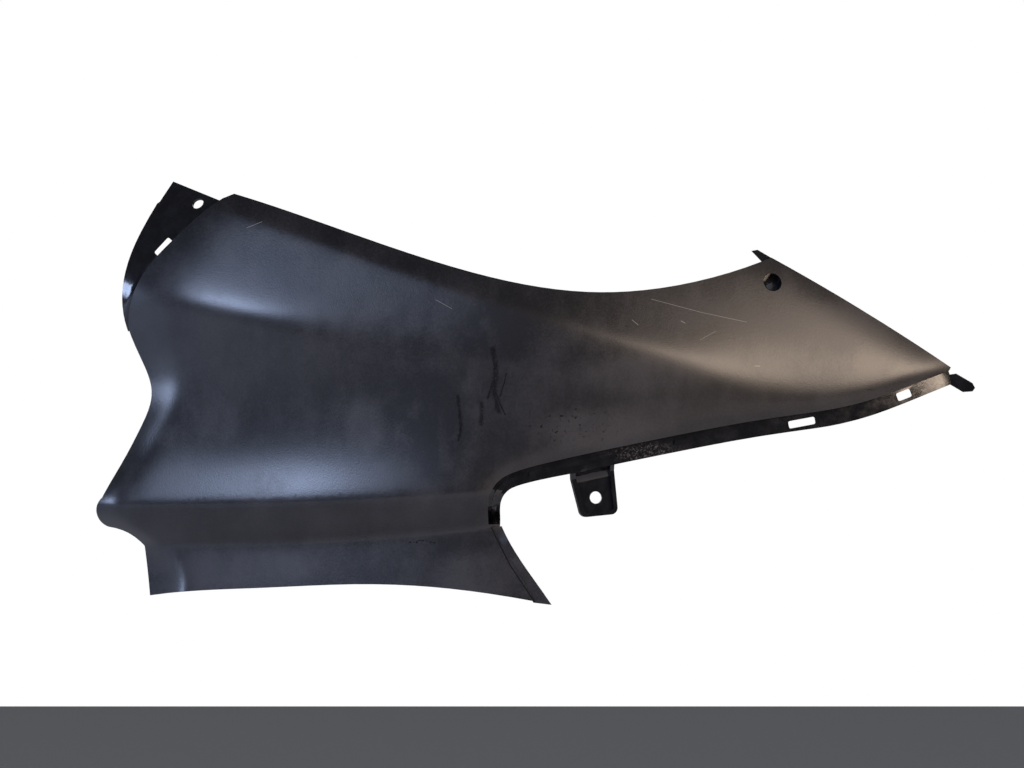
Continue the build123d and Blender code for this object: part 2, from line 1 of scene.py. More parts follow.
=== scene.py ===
"""Looks of the scooter's rear side panel: its satin skin, its smooth ledges, and a plain studio."""

import math

import bmesh
import bpy
import numpy as np
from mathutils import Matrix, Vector


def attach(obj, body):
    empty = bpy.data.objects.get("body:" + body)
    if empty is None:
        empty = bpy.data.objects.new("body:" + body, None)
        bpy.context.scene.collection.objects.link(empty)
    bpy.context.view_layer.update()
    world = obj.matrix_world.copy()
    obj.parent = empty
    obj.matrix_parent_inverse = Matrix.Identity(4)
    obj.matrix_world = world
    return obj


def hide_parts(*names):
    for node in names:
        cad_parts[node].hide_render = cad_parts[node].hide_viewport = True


bl_info = {
    "name": "Scooter side panel",
    "version": (1, 0, 0),
    "blender": (4, 5, 0),
    "location": "View3D > Sidebar > Side panel",
    "description": "Dresses the moulded side panel and lights it in a plain studio",
    "category": "Object",
}

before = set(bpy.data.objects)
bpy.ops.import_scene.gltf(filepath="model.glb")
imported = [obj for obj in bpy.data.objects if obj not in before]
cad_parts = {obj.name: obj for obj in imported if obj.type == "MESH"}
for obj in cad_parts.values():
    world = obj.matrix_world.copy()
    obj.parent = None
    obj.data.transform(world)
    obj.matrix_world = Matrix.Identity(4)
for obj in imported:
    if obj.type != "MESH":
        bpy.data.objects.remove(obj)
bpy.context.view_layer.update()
MM = 0.001

# The photograph: the panel's origin in it, and how many millimetres one of its pixels spans
PHOTO_WIDTH, PHOTO_HEIGHT = 1024, 768
ORIGIN_PIXEL = (595.5, 497.5)
MM_PER_PIXEL = 0.65

# Corners and edges of the skin, in millimetres, as (x, z)
TOP_RIGHT = (115.0, 156.3)
TAIL_TIP = (233.0, 84.6)
LOWER_EDGE = [(-30.0, 23.0), (41.9, 38.3), (117.7, 52.0), (171.9, 61.2), (204.4, 72.1), (231.5, 82.2)]
ARCH_FOOT_X = -69.6
FRONT_EDGE = [(-291.3, -88.0), (-294.4, -32.0), (-321.3, -11.5), (-308.2, 23.1), (-296.6, 45.0),
              (-289.2, 68.0), (-296.0, 90.0), (-303.9, 109.0), (-293.4, 146.5), (-274.6, 167.6),
              (-250.4, 189.2), (-215.0, 222.0)]

# Feature lines of the skin, as height z at a few stations x
RIDGE_LINE = [(-330, 137), (-276, 127), (-198, 114), (-95, 105.5), (3, 91), (97, 74), (250, 52)]
CREASE_LINE = [(-330, 213), (-205, 175.5), (-107, 141), (-17, 112), (88, 82), (250, 40)]
LOWER_CREASE_LINE = [(-330, -6.5), (-200, -5), (-69, 1), (250, 12)]
SKIRT_LINE = [(-330, -30.5), (-230, -30), (-130, -24.5), (-69, -19), (250, 10)]

# How far the ridge stands out, how each side of it leans, and how soft its folds are
CROWN = [(-330, 6), (-250, 21), (-200, 27.5), (-150, 31), (-100, 32), (0, 23.5), (120, -4), (250, -43)]
UPPER_LEAN = [(-330, 0.34), (-230, 0.28), (-100, 0.16), (0, 0.02), (60, 0.02), (130, 0.2), (250, 0.26)]
FACET_LEAN = [(-330, 0.4), (-230, 0.42), (-100, 0.42), (0, 0.40), (60, 0.34), (130, 0.06), (250, 0.0)]
LOWER_LEAN = [(-330, 0.5), (-230, 0.48), (-100, 0.26), (0, 0.14), (120, 0.16), (250, 0.22)]
HOLLOW_LEAN = [(-330, 0.42), (-230, 0.38), (-100, 0.2), (0, 0.0), (250, 0.0)]
FLARE_LEAN = [(-330, 0.36), (-230, 0.36), (-100, 0.2), (0, 0.1), (250, 0.1)]
RETURN_LEAN = [(-330, 1.32), (-230, 1.3), (-69, 1.15), (-25, 1.0), (40, 0.3), (120, 0.1), (250, 0.1)]
RIDGE_SOFTNESS = [(-330, 13), (-200, 12), (-100, 22), (0, 9), (90, 16), (250, 30)]
CREASE_SOFTNESS = [(-330, 3.5), (-40, 4), (20, 5.5), (60, 8), (110, 16), (180, 24), (250, 28)]
LOWER_CREASE_SOFTNESS, SKIRT_SOFTNESS = 4.0, 2.0
HOLLOW_HEIGHT, HOLLOW_SOFTNESS = 80.0, 34.0
FLARE_HEIGHT, FLARE_SOFTNESS = 26.0, 26.0

# Rolled edges of the skin: front, tail, and lower edge with the arch
FRONT_ROLL_WIDTH = [(-90, 11), (-38, 11), (-12, 10), (60, 13), (112, 22), (145, 18), (215, 9)]
FRONT_ROLL_LEAN = [(-90, 1.25), (-38, 1.2), (-12, 1.1), (60, 1.0), (105, 0.85), (145, 0.45), (215, 0.35)]
FRONT_ROLL_SOFTNESS = [(-90, 5), (-38, 5), (-12, 8), (60, 12), (125, 26), (215, 14)]
TAIL_ROLL_WIDTH, TAIL_ROLL_LEAN, TAIL_ROLL_SOFTNESS = 9.0, 0.35, 12.0
ARCH_ROLL_WIDTH, ARCH_ROLL_LEAN, ARCH_ROLL_SOFTNESS = 6.0, 0.5, 6.0
ARCH_ROLL_CORNER, ARCH_ROLL_FADE = 16.0, (-24.0, -8.0)

# How far to each side of a point the skin's slope is measured, in millimetres
SLOPE_REACH = 0.05

# The skin's own faces lie this near the depth formula, in millimetres, and are turned this much like it
SKIN_NEARNESS, SKIN_LIKENESS = 1.5, 0.9
# The strip on the skirt is right of and below this corner, a small step behind the skin
STRIP_CORNER, STRIP_STEP, STRIP_NEARNESS = (-75.0, -18.0), 1.1, 4.0
SKIN_FACE, STRIP_FACE, OTHER_FACE = 2, 1, 0

# The finer mesh: how near vertices are merged, in metres, how often edges are halved, and the angle in
# degrees past which an edge stays sharp
MERGE_DISTANCE, HALVINGS, SHARP_ANGLE = 1e-6, 6, 28.0

# Wear, as pixels of the photograph. Streaks are dried drips, each a chain of points with a width in mm.
STREAKS = [([(493, 349), (496, 372), (494, 392), (499, 412)], 3.8), ([(495, 375), (488, 398)], 1.8),
           ([(458, 396), (461, 424), (459, 440)], 2.4), ([(482, 404), (481, 424)], 3.4),
           ([(496, 392), (505, 414)], 1.4), ([(507, 374), (500, 396)], 1.2)]
SCRATCHES = [([(651, 299), (700, 312), (747, 322)], 0.35), ([(632, 320), (638, 325)], 0.5),
             ([(681, 321), (685, 323)], 0.6), ([(755, 366), (760, 366)], 0.6),
             ([(436, 300), (452, 309)], 0.3), ([(247, 228), (262, 222)], 0.4),
             ([(700, 340), (716, 331)], 0.3)]
SEAM = [([(491, 527), (510, 565), (534, 601)], 1.1)]
# A line is full within this share of its width from its middle, and gone past that one
LINE_CORE, LINE_EDGE = 0.1, 0.7

# Ovals, each with its centre and its half size in pixels, full within this share of their half size
SPECKS = ((575, 426), (72, 32))
DROPLETS = ((424, 541.5), (34, 2.5))
DUSTY_RAIL = ((645, 453), (48, 14))
# Painted shade: darker patches over the hollow below the ridge and over the lower band
PAINTED_SHADE_PATCHES = [((425, 430), (60, 70)), ((330, 480), (40, 45)), ((500, 330), (70, 40))]
# Painted highlights: paler patches where the lamps' reflections fall, as on the wedge below the crease, the
# tail and the skirt's ends
PAINTED_HIGHLIGHT_PATCHES = [((640, 375), (95, 26)), ((365, 425), (26, 40)), ((830, 330), (90, 34)),
                ((240, 572), (120, 30)), ((480, 575), (70, 34)), ((600, 430), (90, 30))]
PATCH_CORE = 0.35

# Noises of the satin skin, each with the size of its blobs in millimetres, its detail and its roughness.
# Each fade holds the values of a noise between which its mark goes from none to full.
CLOUDS, CLOUD_FADE, CLOUD_SHARE = (46.0, 4.0, 0.58), (0.36, 0.66), 0.45
WISPS, WISP_FADE, WISP_SHARE, WISP_STRETCH = (15.0, 4.0, 0.6), (0.4, 0.7), 0.25, (1, 1, 0.45)
# Share of the painted highlights in the film
PAINTED_HIGHLIGHT_SHARE = 0.55
# Painted shade: how far it follows the wisps, and its share
PAINTED_SHADE_FADE, PAINTED_SHADE_SHARE = (0.38, 0.6), 0.6
SPECKLE, SPECKLE_MIDDLE, SPECKLE_SHARE = (1.4, 3.0, 0.7), 0.5, 1.2
TEARS, TEAR_FADE, STREAK_SHARE = (4.0, 3.0, 0.7), (0.3, 0.46), 0.85
SHAKE_SIZE, SHAKE_REACH, SHAKE_DETAIL, SHAKE_MIDDLE = 6.0, 2.4, 3.0, 0.5
SPECK_NOISE, SPECK_FADE = (3.0, 2.0, 0.65), (0.59, 0.66)
DROP_NOISE, DROP_FADE = (2.2, 2.0, 0.5), (0.5, 0.6)
# The etched grain, drawn much coarser than the real one so that it shows, its strength and its depth in mm
GRAIN, GRAIN_STRENGTH, GRAIN_DEPTH = (1.0, 2.0, 0.5), 0.4, 0.1
# Shares by which the film roughens the skin, clean skin is smoother, and marks are smoother and lower
FILM_ROUGHER, CLEAN_SMOOTHER, MARK_SMOOTHER, MARK_SINK = 0.04, 0.03, 0.12, 0.5

# Noises of the smooth plastic: wiped places, and the dust that lies on the rail
WIPES, WIPE_FADE, WIPE_ROUGH_FADE, WIPE_ROUGHNESS = (9.0, 4.0, 0.65), (0.35, 0.7), (0.3, 0.7), 0.05
RIPPLE_STRENGTH, RIPPLE_DEPTH = 0.2, 0.3
DUST, DUST_FADE, DUST_ROUGHER = (1.8, 4.0, 0.7), (0.46, 0.66), 0.3

# Colours, and the usual refractive index of ABS. The colour of the film also serves as painted highlight.
CLEAN_SATIN, FILM_AND_HIGHLIGHT_SATIN, DRIED_MARK, BARE_SCRATCH = "#0e0d10", "#2b292a", "#0b0a0c", "#6f6c66"
CLEAN_SMOOTH, WIPED_SMOOTH, GREY_DUST = "#09080a", "#121114", "#3d3a37"
FLOOR_PAPER, BACKDROP_PAPER, AIR = "#f0f0f0", "#e6e6e6", "#c8ccd4"
ABS_IOR = 1.53

# The studio, in metres. Each lamp has its place and its size.
STUDIO_WIDTH = 28.0
FLOOR_HEIGHT, FLOOR_FRONT = -0.45, -1.5
BACKDROP_DISTANCE, BACKDROP_FOOT, BACKDROP_HEIGHT = 12.0, -2.0, 14.0
LEFT_LAMP = ((-0.91, -1.7, 0.64), (0.4, 0.34))
RIGHT_LAMP = ((1.45, -1.2, 0.6), (1.0, 0.7))
LOW_LEFT_LAMP = ((-1.9, -0.1, 0.1), (0.4, 0.6))
AIR_STRENGTH = 0.18
SENSOR_MM, FARTHEST_SEEN = 36.0, 100.0


def smooth_line(stations):
    """A natural cubic spline through a few stations, straight past both ends."""
    xs, values = np.array(stations, dtype=float).T
    gaps = np.diff(xs)
    slopes = np.diff(values) / gaps
    count = len(xs)
    matrix = np.eye(count)
    right = np.zeros(count)
    for i in range(1, count - 1):
        matrix[i, i - 1:i + 2] = gaps[i - 1], 2 * (gaps[i - 1] + gaps[i]), gaps[i]
        right[i] = 6 * (slopes[i] - slopes[i - 1])
    bends = np.linalg.solve(matrix, right)
    first_slope = slopes[0] - gaps[0] * bends[1] / 6
    last_slope = slopes[-1] + gaps[-1] * bends[-2] / 6

    def value_at(x):
        inside = np.clip(x, xs[0], xs[-1])
        i = np.clip(np.searchsorted(xs, inside) - 1, 0, count - 2)
        left, gap = inside - xs[i], gaps[i]
        rest = gap - left
        value = (bends[i] * rest ** 3 + bends[i + 1] * left ** 3) / (6 * gap)
        value = value + (values[i] / gap - bends[i] * gap / 6) * rest
        value = value + (values[i + 1] / gap - bends[i + 1] * gap / 6) * left
        return value + np.minimum(x - xs[0], 0) * first_slope + np.maximum(x - xs[-1], 0) * last_slope

    return value_at


ridge_line, crease_line = smooth_line(RIDGE_LINE), smooth_line(CREASE_LINE)
lower_crease_line, skirt_line = smooth_line(LOWER_CREASE_LINE), smooth_line(SKIRT_LINE)
crown, upper_lean, facet_lean = smooth_line(CROWN), smooth_line(UPPER_LEAN), smooth_line(FACET_LEAN)
lower_lean, hollow_lean = smooth_line(LOWER_LEAN), smooth_line(HOLLOW_LEAN)
flare_lean, return_lean = smooth_line(FLARE_LEAN), smooth_line(RETURN_LEAN)
ridge_softness, crease_softness = smooth_line(RIDGE_SOFTNESS), smooth_line(CREASE_SOFTNESS)
roll_width, roll_lean = smooth_line(FRONT_ROLL_WIDTH), smooth_line(FRONT_ROLL_LEAN)
roll_softness = smooth_line(FRONT_ROLL_SOFTNESS)
front_line = smooth_line([(z, x) for x, z in FRONT_EDGE])
lower_line = smooth_line(LOWER_EDGE)


def bend(distance, softness):
    """A soft fold, (s + sqrt(s^2 + w^2)) / 2: nothing before its line, the distance itself past it."""
    return (distance + np.sqrt(distance ** 2 + softness ** 2)) / 2


def inside_lower_edge(x, z):
    """Distance in from the lower edge and the arch: the larger of the two, eased at their corner."""
    over, left = z - lower_line(x), ARCH_FOOT_X - x
    return (over + left + np.sqrt((over - left) ** 2 + ARCH_ROLL_CORNER ** 2)) / 2


def skin_depth(x, z):
    """How far the skin stands out at (x, z): the ridge's crown, changed by one soft fold for each line."""
    above = z - ridge_line(x)
    softness = ridge_softness(x)
    depth = crown(x) - upper_lean(x) * bend(above, softness) - lower_lean(x) * bend(-above, softness)
    depth = depth - facet_lean(x) * bend(z - crease_line(x), crease_softness(x))
    depth = depth + hollow_lean(x) * bend(HOLLOW_HEIGHT - z, HOLLOW_SOFTNESS)
    depth = depth + flare_lean(x) * bend(FLARE_HEIGHT - z, FLARE_SOFTNESS)
    depth = depth - return_lean(x) * bend(lower_crease_line(x) - z, LOWER_CREASE_SOFTNESS)
    skirt_lean = return_lean(x) + lower_lean(x) - hollow_lean(x) - flare_lean(x)
    depth = depth + skirt_lean * bend(skirt_line(x) - z, SKIRT_SOFTNESS)
    depth = depth - roll_lean(z) * bend(roll_width(z) - (x - front_line(z)), roll_softness(z))
    along = np.array(TAIL_TIP) - np.array(TOP_RIGHT)
    along = along / np.hypot(*along)
    inside_tail = (x - TOP_RIGHT[0]) * along[1] - (z - TOP_RIGHT[1]) * along[0]
    depth = depth - TAIL_ROLL_LEAN * bend(TAIL_ROLL_WIDTH - inside_tail, TAIL_ROLL_SOFTNESS)
    fade = np.clip((z - ARCH_ROLL_FADE[0]) / (ARCH_ROLL_FADE[1] - ARCH_ROLL_FADE[0]), 0, 1)
    lean = ARCH_ROLL_LEAN * fade ** 2 * (3 - 2 * fade)
    return depth - lean * bend(ARCH_ROLL_WIDTH - inside_lower_edge(x, z), ARCH_ROLL_SOFTNESS)


def skin_normal(x, z):
    """The skin's outward direction: minus the slopes of its depth along X and Z, and -1 along Y."""
    step = 2 * SLOPE_REACH
    slope_x = (skin_depth(x + SLOPE_REACH, z) - skin_depth(x - SLOPE_REACH, z)) / step
    slope_z = (skin_depth(x, z + SLOPE_REACH) - skin_depth(x, z - SLOPE_REACH)) / step
    normal = np.stack([-slope_x, -np.ones_like(x), -slope_z], axis=-1)
    return normal / np.linalg.norm(normal, axis=-1, keepdims=True)


def colour(text):
    """A colour written as sRGB hex, in the linear values that the shaders take, by the sRGB standard."""
    parts = np.array([int(text[i:i + 2], 16) / 255 for i in (1, 3, 5)])
    linear = np.where(parts <= 0.04045, parts / 12.92, ((parts + 0.055) / 1.055) ** 2.4)
    return tuple(linear) + (1.0,)


def node(tree, kind, links=(), **settings):
    """Adds a node with its settings, and links (output socket, input name or number) into it."""
    new = tree.nodes.new(kind)
    inputs = settings.pop("inputs", {})
    for name, value in settings.items():
        setattr(new, name, value)
    for name, value in inputs.items():
        new.inputs[name].default_value = value
    for output, name in links:
        tree.links.new(output, new.inputs[name])
    return new


def new_material(name):
    """An empty material and its node tree."""
    material = bpy.data.materials.new(name)
    material.use_nodes = True
    material.node_tree.nodes.clear()
    return material, material.node_tree


def side_view(pixel):
    """Where a pixel of the photograph lies in the side view, in metres, with Y left at 0."""
    return ((pixel[0] - ORIGIN_PIXEL[0]) * MM_PER_PIXEL * MM, 0.0,
            (ORIGIN_PIXEL[1] - pixel[1]) * MM_PER_PIXEL * MM)


def flattened(tree, place):
    """The place with its Y dropped, so that marks drawn in the side view go straight through."""
    return node(tree, "ShaderNodeVectorMath", [(place, 0)], operation="MULTIPLY",
                inputs={1: (1, 0, 1)}).outputs[0]


def math_node(tree, operation, first, second=0.0, clamp=False):
    """One calculation on two values, each an output socket or a number."""
    new = node(tree, "ShaderNodeMath", operation=operation, use_clamp=clamp)
    for i, value in enumerate((first, second)):
        if isinstance(value, bpy.types.NodeSocket):
            tree.links.new(value, new.inputs[i])
        else:
            new.inputs[i].default_value = value
    return new.outputs[0]


def strongest(tree, masks):
    """The largest of several masks."""
    first, *others = masks
    for other in others:
        first = math_node(tree, "MAXIMUM", first, other)
    return first


def ramp(tree, value, low, high, low_value=0.0, high_value=1.0):
    """Runs smoothly from the low value to the high value while its input runs from low to high."""
    return node(tree, "ShaderNodeMapRange", [(value, "Value")], interpolation_type="SMOOTHSTEP",
                inputs={"From Min": low, "From Max": high, "To Min": low_value,
                        "To Max": high_value}).outputs["Result"]


def noise(tree, place, pattern, stretch=(1, 1, 1)):
    """Fractal noise from a pattern's blob size in millimetres, its detail and its roughness."""
    size, detail, roughness = pattern
    if stretch != (1, 1, 1):
        place = node(tree, "ShaderNodeVectorMath", [(place, 0)], operation="MULTIPLY",
                     inputs={1: stretch}).outputs[0]
    return node(tree, "ShaderNodeTexNoise", [(place, "Vector")],
                inputs={"Scale": 1 / (size * MM), "Detail": detail, "Roughness": roughness}).outputs["Fac"]


def shaken(tree, place):
    """The place moved about by noise, so that what is drawn with it gets uneven edges."""
    shake = node(tree, "ShaderNodeTexNoise", [(place, "Vector")],
                 inputs={"Scale": 1 / (SHAKE_SIZE * MM), "Detail": SHAKE_DETAIL})
    shake = node(tree, "ShaderNodeVectorMath", [(shake.outputs["Color"], 0)], operation="SUBTRACT",
                 inputs={1: (SHAKE_MIDDLE, SHAKE_MIDDLE, SHAKE_MIDDLE)}).outputs[0]
    shake = node(tree, "ShaderNodeVectorMath", [(shake, 0)], operation="MULTIPLY",
                 inputs={1: (SHAKE_REACH * MM, 0, SHAKE_REACH * MM)}).outputs[0]
    return node(tree, "ShaderNodeVectorMath", [(place, 0), (shake, 1)], operation="ADD").outputs[0]


def line_mask(tree, place, start, end, width):
    """1 along the segment and 0 away from it, by how far the point is from the nearest one on it.

    That nearest point is the start, plus the vector to the end times the point's share of the way.
    """
    start, end = Vector(side_view(start)), Vector(side_view(end))
    along = end - start
    local = node(tree, "ShaderNodeVectorMath", [(place, 0)], operation="SUBTRACT",
                 inputs={1: start}).outputs[0]
    share = node(tree, "ShaderNodeVectorMath", [(local, 0)], operation="DOT_PRODUCT",
                 inputs={1: along / along.length_squared}).outputs["Value"]
    share = math_node(tree, "ADD", share, 0.0, clamp=True)
    foot = node(tree, "ShaderNodeVectorMath", [(share, "Scale")], operation="SCALE",
                inputs={0: along}).outputs[0]
    gap = node(tree, "ShaderNodeVectorMath", [(local, 0), (foot, 1)], operation="DISTANCE").outputs["Value"]
    return ramp(tree, gap, width * MM * LINE_EDGE, width * MM * LINE_CORE)


def chain_mask(tree, place, chains):
    """The strongest mask of all segments of all chains of points."""
    return strongest(tree, [line_mask(tree, place, start, end, width)
                            for points, width in chains for start, end in zip(points, points[1:])])


def patch_mask(tree, place, centre, half_size):
    """A soft oval: the distance from its centre, each way in parts of its half size, faded from 1 to 0."""
    reach = [1 / (half_size[0] * MM_PER_PIXEL * MM), 0, 1 / (half_size[1] * MM_PER_PIXEL * MM)]
    local = node(tree, "ShaderNodeVectorMath", [(place, 0)], operation="SUBTRACT",
                 inputs={1: side_view(centre)}).outputs[0]
    local = node(tree, "ShaderNodeVectorMath", [(local, 0)], operation="MULTIPLY",
                 inputs={1: reach}).outputs[0]
    far = node(tree, "ShaderNodeVectorMath", [(local, 0)], operation="LENGTH").outputs["Value"]
    return ramp(tree, far, 1.0, PATCH_CORE)


def patches_mask(tree, place, patches):
    """The strongest mask of several soft ovals."""
    return strongest(tree, [patch_mask(tree, place, *patch) for patch in patches])


def mixed(tree, factor, first, second):
    """A colour that runs from the first to the second, each a hex colour or a socket."""
    mix = node(tree, "ShaderNodeMix", [(factor, "Factor")], data_type="RGBA")
    for name, value in (("A", first), ("B", second)):
        socket = next(one for one in mix.inputs if one.name == name and one.type == "RGBA")
        if isinstance(value, str):
            socket.default_value = colour(value)
        else:
            tree.links.new(value, socket)
    return next(one for one in mix.outputs if one.type == "RGBA")


def finish_plastic(tree, shade, rough, height, strength, depth):
    """Joins colour, roughness and a relief of the given strength and depth in mm into the plastic."""
    relief = node(tree, "ShaderNodeBump", [(height, "Height")],
                  inputs={"Strength": strength, "Distance": depth * MM})
    shader = node(tree, "ShaderNodeBsdfPrincipled",
                  [(shade, "Base Color"), (rough, "Roughness"), (relief.outputs["Normal"], "Normal")],
                  inputs={"IOR": ABS_IOR})
    node(tree, "ShaderNodeOutputMaterial", [(shader.outputs["BSDF"], "Surface")])


def satin_black_abs(finish):
    """Black ABS from a finely etched mould: broad grey veils of light, dulled by handling and dust, with
    painted highlights and painted shade in patches.
    """
    material, tree = new_material("satin_black_abs")
    place = node(tree, "ShaderNodeTexCoord").outputs["Object"]
    side = flattened(tree, place)
    # Handling leaves a cloudy film: it scatters a little light and spreads the highlights
    clouds = noise(tree, side, CLOUDS)
    wisps = noise(tree, side, WISPS, WISP_STRETCH)
    film_and_painted_light = math_node(tree, "MULTIPLY", ramp(tree, clouds, *CLOUD_FADE), CLOUD_SHARE)
    veil = math_node(tree, "MULTIPLY", ramp(tree, wisps, *WISP_FADE), WISP_SHARE)
    film_and_painted_light = math_node(tree, "ADD", film_and_painted_light, veil)
    # Painted highlights: paler patches laid where the lamps' reflections fall, as on the wedge below the
    # crease, the tail and the skirt's ends
    painted_highlight = math_node(tree, "MULTIPLY", patches_mask(tree, side, PAINTED_HIGHLIGHT_PATCHES), PAINTED_HIGHLIGHT_SHARE)
    film_and_painted_light = math_node(tree, "ADD", film_and_painted_light, painted_highlight)
    speckle = math_node(tree, "SUBTRACT", noise(tree, place, SPECKLE), SPECKLE_MIDDLE)
    film_and_painted_light = math_node(tree, "ADD", film_and_painted_light, math_node(tree, "MULTIPLY", speckle, SPECKLE_SHARE))
    # Painted shade: patches over the hollow below the ridge and over the lower band take the film off, so
    # the skin is darker there
    painted_shade = math_node(tree, "MULTIPLY", patches_mask(tree, side, PAINTED_SHADE_PATCHES), ramp(tree, wisps, *PAINTED_SHADE_FADE))
    film_and_painted_light = math_node(tree, "SUBTRACT", film_and_painted_light, math_node(tree, "MULTIPLY", painted_shade, PAINTED_SHADE_SHARE), clamp=True)
    # Dried drips and specks of water left darker, smoother marks
    torn = math_node(tree, "MULTIPLY", ramp(tree, noise(tree, side, TEARS), *TEAR_FADE), STREAK_SHARE)
    streaks = math_node(tree, "MULTIPLY", chain_mask(tree, shaken(tree, side), STREAKS), torn)
    specks = ramp(tree, noise(tree, side, SPECK_NOISE), *SPECK_FADE)
    specks = math_node(tree, "MULTIPLY", specks, patch_mask(tree, side, *SPECKS))
    drops = ramp(tree, noise(tree, side, DROP_NOISE), *DROP_FADE)
    drops = math_node(tree, "MULTIPLY", drops, patch_mask(tree, side, *DROPLETS))
    marks = strongest(tree, [streaks, specks, drops, chain_mask(tree, side, SEAM)])
    # The film's lighter colour also carries the painted highlights and, where the film is taken off, the
    # painted shade
    shade = mixed(tree, film_and_painted_light, CLEAN_SATIN, FILM_AND_HIGHLIGHT_SATIN)
    shade = mixed(tree, marks, shade, DRIED_MARK)
    shade = mixed(tree, chain_mask(tree, side, SCRATCHES), shade, BARE_SCRATCH)
    rough = ramp(tree, film_and_painted_light, 0.0, 1.0, finish.skin_roughness - CLEAN_SMOOTHER,
                 finish.skin_roughness + FILM_ROUGHER)
    rough = math_node(tree, "SUBTRACT", rough, math_node(tree, "MULTIPLY", marks, MARK_SMOOTHER))
    sink = math_node(tree, "MULTIPLY", marks, MARK_SINK)
    height = math_node(tree, "SUBTRACT", noise(tree, place, GRAIN), sink)
    finish_plastic(tree, shade, rough, height, GRAIN_STRENGTH, GRAIN_DEPTH)
    return material


def smooth_black_abs(finish):
    """The same black ABS from the mould's smooth parts: darker, with small highlights, dusty in places."""
    material, tree = new_material("smooth_black_abs")
    place = node(tree, "ShaderNodeTexCoord").outputs["Object"]
    wipes = noise(tree, place, WIPES)
    dust = ramp(tree, noise(tree, place, DUST), *DUST_FADE)
    dust = math_node(tree, "MULTIPLY", dust, patch_mask(tree, flattened(tree, place), *DUSTY_RAIL))
    shade = mixed(tree, ramp(tree, wipes, *WIPE_FADE), CLEAN_SMOOTH, WIPED_SMOOTH)
    shade = mixed(tree, dust, shade, GREY_DUST)
    rough = ramp(tree, wipes, *WIPE_ROUGH_FADE, finish.ledge_roughness - WIPE_ROUGHNESS,
                 finish.ledge_roughness + WIPE_ROUGHNESS)
    rough = math_node(tree, "ADD", rough, math_node(tree, "MULTIPLY", dust, DUST_ROUGHER), clamp=True)
    finish_plastic(tree, shade, rough, wipes, RIPPLE_STRENGTH, RIPPLE_DEPTH)
    return material


def coordinates(mesh):
    """The places of a mesh's vertices, one row for each."""
    places = np.empty(len(mesh.vertices) * 3)
    mesh.vertices.foreach_get("co", places)
    return places.reshape(-1, 3)


def on_skin(centres, normals):
    """Which faces lie on the skin, near the depth formula and turned like it, and which on the strip."""
    x, y, z = centres.T / MM
    facing = skin_normal(x, z)
    distance = np.abs(y + skin_depth(x, z)) * np.abs(facing[:, 1])
    alike = (facing * normals).sum(axis=1) > SKIN_LIKENESS
    by_strip = (x > STRIP_CORNER[0]) & (z < STRIP_CORNER[1])
    strip = (distance < STRIP_NEARNESS) & by_strip & (normals[:, 1] < 0)
    near = distance < np.where(by_strip, STRIP_STEP / 2, SKIN_NEARNESS)
    near = near & ((inside_lower_edge(x, z) > 0) | (z < STRIP_CORNER[1]))
    return np.where(alike & near, SKIN_FACE, np.where(strip, STRIP_FACE, OTHER_FACE))


def refine_skin(mesh, longest):
    """Marks each face by what it lies on, and halves the skin's edges that are longer than asked."""
    work = bmesh.new()
    work.from_mesh(mesh)
    bmesh.ops.remove_doubles(work, verts=work.verts, dist=MERGE_DISTANCE)
    marked = work.faces.layers.int.new("skin")
    centres = np.array([face.calc_center_median() for face in work.faces])
    normals = np.array([face.normal for face in work.faces])
    for face, kind in zip(work.faces, on_skin(centres, normals)):
        face[marked] = int(kind)
    for _ in range(HALVINGS):
        edges = [edge for edge in work.edges if edge.calc_length() > longest
                 and any(face[marked] == SKIN_FACE for face in edge.link_faces)]
        bmesh.ops.subdivide_edges(work, edges=edges, cuts=1)
        bmesh.ops.triangulate(work, faces=[face for face in work.faces if len(face.verts) > 3])
    work.to_mesh(mesh)
    work.free()


def settle_skin(mesh):
    """Puts the skin's vertices exactly on the depth formula, and gives its corners that formula's normals.

    Skin and strip take the first material and the rest the second, and all is shaded smooth up to an angle.
    """
    faces = len(mesh.polygons)
    kind = np.empty(faces, dtype=np.int32)
    mesh.attributes["skin"].data.foreach_get("value", kind)
    corners = np.empty(faces * 3, dtype=np.int32)
    mesh.loops.foreach_get("vertex_index", corners)
    skin_corners = np.repeat(kind == SKIN_FACE, 3)
    places = coordinates(mesh)
    used = np.unique(corners[skin_corners])
    places[used, 1] = -skin_depth(places[used, 0] / MM, places[used, 2] / MM) * MM
    mesh.vertices.foreach_set("co", places.ravel())
    mesh.polygons.foreach_set("material_index", (kind == OTHER_FACE).astype(np.int32))
    mesh.polygons.foreach_set("use_smooth", np.ones(faces, dtype=bool))
    mesh.set_sharp_from_angle(angle=math.radians(SHARP_ANGLE))
    mesh.update()
    normals = np.empty(len(corners) * 3)
    mesh.corner_normals.foreach_get("vector", normals)
    normals = normals.reshape(-1, 3)
    at_skin = places[corners[skin_corners]] / MM
    normals[skin_corners] = skin_normal(at_skin[:, 0], at_skin[:, 2])
    mesh.normals_split_custom_set(normals.tolist())


def flat_sheet(name, across, up, corner, material):
    """A flat sheet: the corner, plus parts of the vector across and of the vector up."""
    s, t = np.meshgrid([0.0, 1.0], [0.0, 1.0])
    points = np.array(corner) + s[..., None] * np.array(across) + t[..., None] * np.array(up)
    mesh = bpy.data.meshes.new(name)
    mesh.from_pydata(points.reshape(-1, 3).tolist(), [], [(0, 1, 3, 2)])
    mesh.materials.append(material)
    sheet = bpy.data.objects.new(name, mesh)
    bpy.context.scene.collection.objects.link(sheet)
    return sheet


def pale_paper():
    """Matt pale paper for the floor. The camera's own picture shows its far end in the lowest rows."""
    material, tree = new_material("pale_paper")
    paper = node(tree, "ShaderNodeBsdfDiffuse", inputs={"Color": colour(FLOOR_PAPER)})
    node(tree, "ShaderNodeOutputMaterial", [(paper.outputs[0], "Surface")])
    return material


